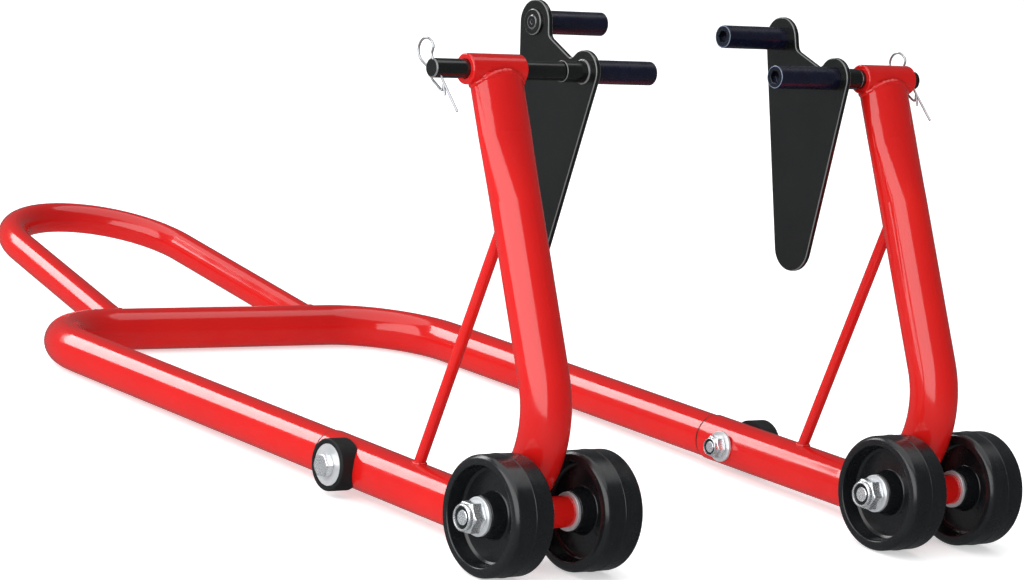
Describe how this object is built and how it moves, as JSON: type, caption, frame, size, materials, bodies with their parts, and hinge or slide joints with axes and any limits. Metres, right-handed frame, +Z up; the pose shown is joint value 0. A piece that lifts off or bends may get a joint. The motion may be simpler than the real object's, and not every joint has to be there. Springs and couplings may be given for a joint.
{
  "type": "motorcycle paddock stand",
  "caption": "Bent-tube paddock stand on small paired wheels: low U frame with a handle loop, leaning uprights and swivelling black arms with support pins.",
  "frame": {"origin": "on the floor, under the centre of the stand's bounding box", "axes": "+X to the right-hand side (away from the long left rod), +Y towards the handle, +Z up"},
  "size_m": [0.6016, 1.1459, 0.4358],
  "materials": {
    "red_powder_coat": "glossy bright red powder coat",
    "black_powder_coat": "glossy black powder coat",
    "navy_pin_sleeve": "smooth blue-black plastic, satin gloss",
    "black_oxide_steel": "oxide-blackened socket screw, bluish sheen",
    "black_wheel_plastic": "moulded black polypropylene, satin gloss",
    "black_rubber": "moulded black rubber",
    "zinc_plated_steel": "bright zinc plate",
    "spring_wire": "bright spring wire",
    "bush_steel": "plain turned steel"
  },
  "bodies": {
    "frame": {"rear_frame_tube": "red_powder_coat", "handle_loop": "red_powder_coat", "left_side_tube": "red_powder_coat", "left_brace": "red_powder_coat", "left_head_boss": "red_powder_coat", "left_axle_sleeve": "red_powder_coat", "left_axle": "zinc_plated_steel", "left_joint_collar": "black_rubber", "left_outer_bush": "bush_steel", "left_inner_bush": "bush_steel", "right_side_tube": "red_powder_coat", "right_brace": "red_powder_coat", "right_head_boss": "red_powder_coat", "right_axle_sleeve": "red_powder_coat", "right_axle": "zinc_plated_steel", "right_joint_collar": "black_rubber", "right_outer_bush": "bush_steel", "right_inner_bush": "bush_steel", "axle_nuts": "zinc_plated_steel", "axle_washers": "zinc_plated_steel", "joint_bolts": "zinc_plated_steel", "joint_nuts": "zinc_plated_steel", "joint_large_washers": "zinc_plated_steel", "joint_small_washers": "zinc_plated_steel"},
    "left_outer_wheel": {"left_outer_wheel": "black_wheel_plastic"},
    "left_inner_wheel": {"left_inner_wheel": "black_wheel_plastic"},
    "right_outer_wheel": {"right_outer_wheel": "black_wheel_plastic"},
    "right_inner_wheel": {"right_inner_wheel": "black_wheel_plastic"},
    "left_spigot": {"left_spigot_rod": "black_powder_coat", "left_r_clip": "spring_wire", "left_lower_pin_sleeve": "navy_pin_sleeve", "left_lower_pin_screw": "black_oxide_steel"},
    "left_arm": {"left_arm_plate": "black_powder_coat", "left_arm_hub": "black_powder_coat", "left_upper_pin_sleeve": "navy_pin_sleeve", "left_upper_pin_screw": "black_oxide_steel", "left_upper_pin_nut": "black_powder_coat"},
    "right_spigot": {"right_spigot_rod": "black_powder_coat", "right_r_clip": "spring_wire", "right_lower_pin_sleeve": "navy_pin_sleeve", "right_lower_pin_screw": "black_oxide_steel"},
    "right_arm": {"right_arm_plate": "black_powder_coat", "right_arm_hub": "black_powder_coat", "right_upper_pin_sleeve": "navy_pin_sleeve", "right_upper_pin_screw": "black_oxide_steel", "right_upper_pin_nut": "black_powder_coat"}
  },
  "joints": [
    {"name": "left_outer_wheel_spin", "type": "hinge", "parent": "frame", "child": "left_outer_wheel", "pos_m": [0, -0.523, 0.05], "axis": [1, 0, 0], "continuous": true},
    {"name": "left_inner_wheel_spin", "type": "hinge", "parent": "frame", "child": "left_inner_wheel", "pos_m": [0, -0.523, 0.05], "axis": [1, 0, 0], "continuous": true},
    {"name": "right_outer_wheel_spin", "type": "hinge", "parent": "frame", "child": "right_outer_wheel", "pos_m": [0, -0.523, 0.05], "axis": [1, 0, 0], "continuous": true},
    {"name": "right_inner_wheel_spin", "type": "hinge", "parent": "frame", "child": "right_inner_wheel", "pos_m": [0, -0.523, 0.05], "axis": [1, 0, 0], "continuous": true},
    {"name": "left_width_slide", "type": "slide", "parent": "frame", "child": "left_spigot", "axis": [1, 0, 0], "range_m": [-0.0435, 0.0265]},
    {"name": "left_arm_turn", "type": "hinge", "parent": "left_spigot", "child": "left_arm", "pos_m": [0, -0.38947, 0.38722], "axis": [1, 0, 0], "continuous": true},
    {"name": "right_width_slide", "type": "slide", "parent": "frame", "child": "right_spigot", "axis": [-1, 0, 0], "range_m": [-0.0035, 0.0015]},
    {"name": "right_arm_turn", "type": "hinge", "parent": "right_spigot", "child": "right_arm", "pos_m": [0, -0.38947, 0.38722], "axis": [1, 0, 0], "continuous": true}
  ]
}
